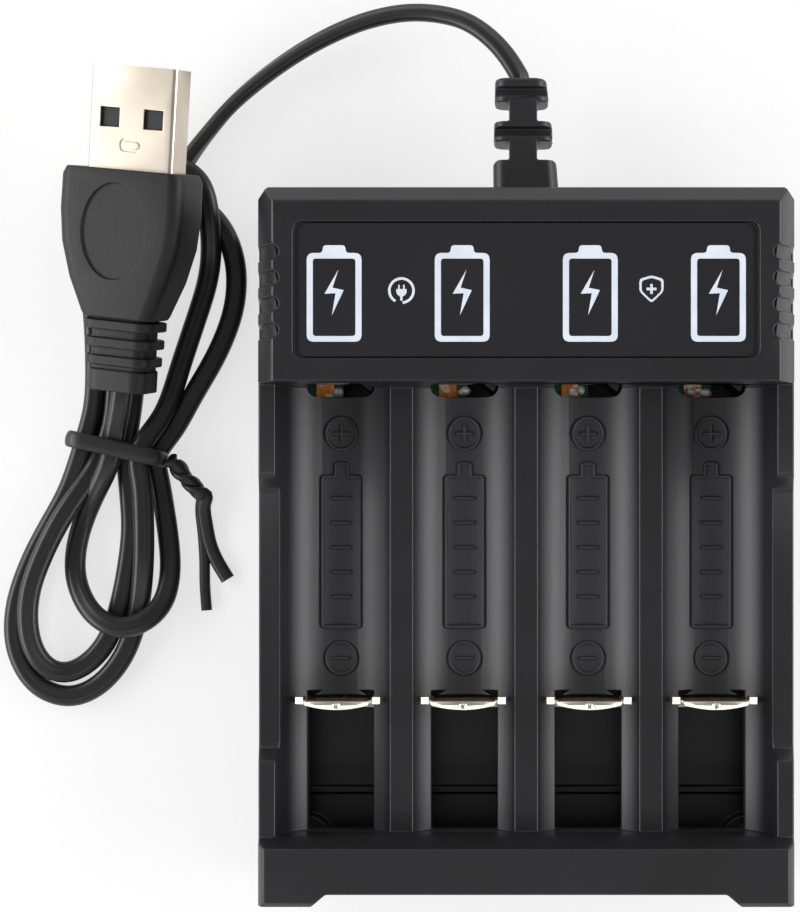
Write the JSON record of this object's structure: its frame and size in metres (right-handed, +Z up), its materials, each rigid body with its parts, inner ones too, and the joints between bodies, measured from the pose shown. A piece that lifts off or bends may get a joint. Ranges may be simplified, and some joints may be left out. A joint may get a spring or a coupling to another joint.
{
  "type": "battery charger",
  "caption": "Flat black desktop charger for AA or AAA cells: bevelled head with a label panel, half-round bays with sprung sliding contacts, and a USB lead tied in a hank.",
  "frame": {"origin": "middle of the case's underside", "axes": "+Y from the feet to the lead's end of the case, +Z up, +X to the right seen from above"},
  "size_m": [0.1046, 0.1165, 0.022],
  "materials": {
    "case_plastic": "fine satin moulding, black",
    "panel_film": "smoked satin film with pale print",
    "board_laminate": "green solder mask",
    "chip_resin": "moulded resin",
    "lamp_resin": "diffuse lamp resin",
    "contact_bronze": "bright copper alloy",
    "nickel_sheet": "bright nickel plate",
    "spring_wire": "bright spring wire",
    "wire_sleeve": "red sleeve",
    "screw_steel": "dark zinc",
    "cord_vinyl": "satin black vinyl",
    "tie_vinyl": "black coated wire",
    "plug_vinyl": "matt black vinyl moulding",
    "shell_steel": "satin nickel plate",
    "tongue_plastic": "black insulator",
    "pin_gold": "gold flash"
  },
  "bodies": {
    "charger": {"upper_housing": "case_plastic", "lower_housing": "case_plastic", "label_panel": "panel_film", "circuit_board": "board_laminate", "charge_chips": "chip_resin", "led_1": "lamp_resin", "led_2": "lamp_resin", "led_3": "lamp_resin", "led_4": "lamp_resin", "positive_contact_1": "contact_bronze", "positive_contact_2": "contact_bronze", "positive_contact_3": "contact_bronze", "positive_contact_4": "contact_bronze", "slider_spring_1": "spring_wire", "slider_spring_2": "spring_wire", "slider_spring_3": "spring_wire", "slider_spring_4": "spring_wire", "spring_terminals": "nickel_sheet", "power_wires": "wire_sleeve", "housing_screws": "screw_steel", "strain_relief": "cord_vinyl", "cord_lead": "cord_vinyl", "cord_hank": "cord_vinyl", "cord_tail": "cord_vinyl", "twist_tie": "tie_vinyl", "plug_grip": "plug_vinyl", "plug_shell": "shell_steel", "plug_tongue": "tongue_plastic", "plug_pins": "pin_gold"},
    "slider_1": {"slider_contact_1": "nickel_sheet"},
    "slider_2": {"slider_contact_2": "nickel_sheet"},
    "slider_3": {"slider_contact_3": "nickel_sheet"},
    "slider_4": {"slider_contact_4": "nickel_sheet"}
  },
  "joints": [
    {"name": "slider_1_slide", "type": "slide", "parent": "charger", "child": "slider_1", "axis": [0, -1, 0], "range_m": [0, 0.014], "stiffness_N_per_m": 150, "springref_m": -0.004, "deforming": ["slider_spring_1"]},
    {"name": "slider_2_slide", "type": "slide", "parent": "charger", "child": "slider_2", "axis": [0, -1, 0], "range_m": [0, 0.014], "stiffness_N_per_m": 150, "springref_m": -0.004, "deforming": ["slider_spring_2"]},
    {"name": "slider_3_slide", "type": "slide", "parent": "charger", "child": "slider_3", "axis": [0, -1, 0], "range_m": [0, 0.014], "stiffness_N_per_m": 150, "springref_m": -0.004, "deforming": ["slider_spring_3"]},
    {"name": "slider_4_slide", "type": "slide", "parent": "charger", "child": "slider_4", "axis": [0, -1, 0], "range_m": [0, 0.014], "stiffness_N_per_m": 150, "springref_m": -0.004, "deforming": ["slider_spring_4"]}
  ]
}
